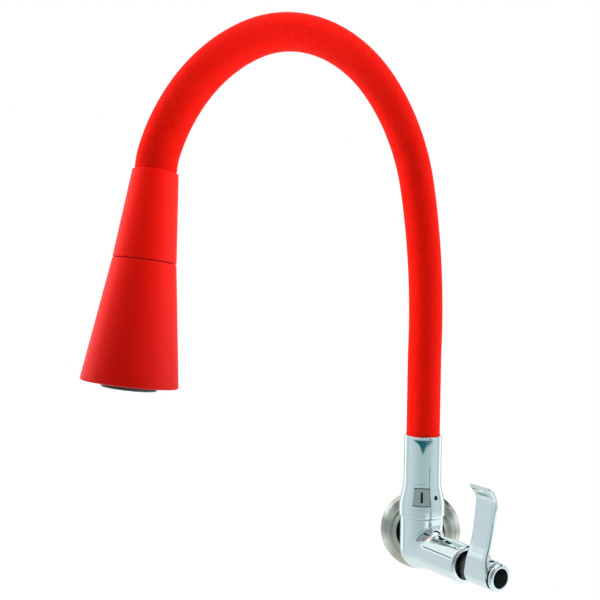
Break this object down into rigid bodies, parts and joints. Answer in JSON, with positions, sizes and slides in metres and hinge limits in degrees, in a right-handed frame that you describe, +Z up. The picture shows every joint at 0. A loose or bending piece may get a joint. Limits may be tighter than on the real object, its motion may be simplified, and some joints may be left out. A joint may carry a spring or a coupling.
{
  "type": "wall-mounted kitchen faucet",
  "caption": "Wall-mounted chrome tap with a quarter-turn side lever, a bendable red silicone-covered gooseneck spout and a conical twist-select spray head.",
  "frame": {"origin": "on the inlet axis at the wall plane, where the male thread enters the wall fitting", "axes": "+Y into the wall along the inlet, +Z up along the column, -Y out to the room"},
  "size_m": [0.2386, 0.2414, 0.3718],
  "materials": {
    "chrome_plate": "polished",
    "brushed_steel": "brushed",
    "brass": "machined",
    "dark_brass": "darkened",
    "black_rubber": "matte",
    "ceramic_disc": "lapped",
    "small_steel": "plain",
    "dark_steel": "black oxide",
    "black_plastic": "satin",
    "white_plastic": "smooth",
    "water_tube": "smooth",
    "red_silicone": "matte",
    "gooseneck_steel": "wound",
    "red_plastic": "soft-touch matte"
  },
  "bodies": {
    "valve": {"escutcheon": "brushed_steel", "valve_body": "chrome_plate", "gland_nut": "brass", "cartridge_housing": "dark_brass", "cartridge_o_ring": "black_rubber", "seat_seal": "black_rubber", "fixed_disc": "ceramic_disc"},
    "handle": {"moving_disc": "ceramic_disc", "spindle": "brass", "spindle_o_rings": "black_rubber", "spindle_clip": "small_steel", "lever": "chrome_plate", "lever_screw": "small_steel", "handle_cap": "chrome_plate", "index_disc": "black_plastic"},
    "spout_base": {"spout_shank": "brass", "shank_o_rings": "black_rubber", "swivel_washer": "white_plastic", "spout_sleeve": "chrome_plate", "spout_set_screw": "dark_steel", "neck_base_fitting": "brass", "neck_skin_1": "red_silicone", "neck_core_1": "gooseneck_steel", "neck_tube_1": "water_tube"},
    "neck_2": {"neck_skin_2": "red_silicone", "neck_core_2": "gooseneck_steel", "neck_tube_2": "water_tube", "neck_flex_1": "red_silicone"},
    "neck_3": {"neck_skin_3": "red_silicone", "neck_core_3": "gooseneck_steel", "neck_tube_3": "water_tube", "neck_flex_2": "red_silicone"},
    "neck_4": {"neck_skin_4": "red_silicone", "neck_core_4": "gooseneck_steel", "neck_tube_4": "water_tube", "neck_flex_3": "red_silicone"},
    "neck_5": {"neck_skin_5": "red_silicone", "neck_core_5": "gooseneck_steel", "neck_tube_5": "water_tube", "neck_flex_4": "red_silicone"},
    "head": {"neck_skin_6": "red_silicone", "neck_core_6": "gooseneck_steel", "neck_tube_6": "water_tube", "neck_flex_5": "red_silicone", "neck_end_fitting": "brass", "head_washer": "black_rubber", "head_core": "black_plastic", "head_collar": "red_plastic", "detent_ball": "small_steel", "detent_spring": "small_steel"},
    "bell": {"spray_bell": "red_plastic", "bell_insert": "black_plastic", "bell_clip": "small_steel", "bell_o_rings": "black_rubber", "selector_disc": "white_plastic", "nozzle_plate": "black_plastic", "aerator_housing": "black_plastic", "aerator_screens": "small_steel"}
  },
  "joints": [
    {"name": "lever_turn", "type": "hinge", "parent": "valve", "child": "handle", "pos_m": [0, -0.042, 0], "axis": [0.6428, -0.766, 0], "range_deg": [0, 90]},
    {"name": "spout_swivel", "type": "hinge", "parent": "valve", "child": "spout_base", "pos_m": [0, -0.042, 0.02], "axis": [0, 0, 1], "range_deg": [-45, 135]},
    {"name": "neck_bend_1", "type": "hinge", "parent": "spout_base", "child": "neck_2", "pos_m": [0.00002, -0.04198, 0.133], "axis": [0.7071, -0.7071, 0], "range_deg": [-20, 12], "deforming": ["neck_flex_1"]},
    {"name": "neck_bend_2", "type": "hinge", "parent": "neck_2", "child": "neck_3", "pos_m": [-0.00689, -0.04889, 0.24523], "axis": [0.7071, -0.7071, 0], "range_deg": [-20, 12], "deforming": ["neck_flex_2"]},
    {"name": "neck_bend_3", "type": "hinge", "parent": "neck_3", "child": "neck_4", "pos_m": [-0.03158, -0.07358, 0.30703], "axis": [0.7071, -0.7071, 0], "range_deg": [-20, 12], "deforming": ["neck_flex_3"]},
    {"name": "neck_bend_4", "type": "hinge", "parent": "neck_4", "child": "neck_5", "pos_m": [-0.10246, -0.14446, 0.32309], "axis": [0.7071, -0.7071, 0], "range_deg": [-20, 12], "deforming": ["neck_flex_4"]},
    {"name": "head_tilt", "type": "hinge", "parent": "neck_5", "child": "head", "pos_m": [-0.14669, -0.18869, 0.25122], "axis": [0.6867, 0.6867, -0.2385], "range_deg": [-20, 20], "deforming": ["neck_flex_5"]},
    {"name": "bell_twist", "type": "hinge", "parent": "head", "child": "bell", "pos_m": [-0.14761, -0.18961, 0.24333], "axis": [-0.096, -0.096, -0.9907], "range_deg": [0, 60]}
  ]
}
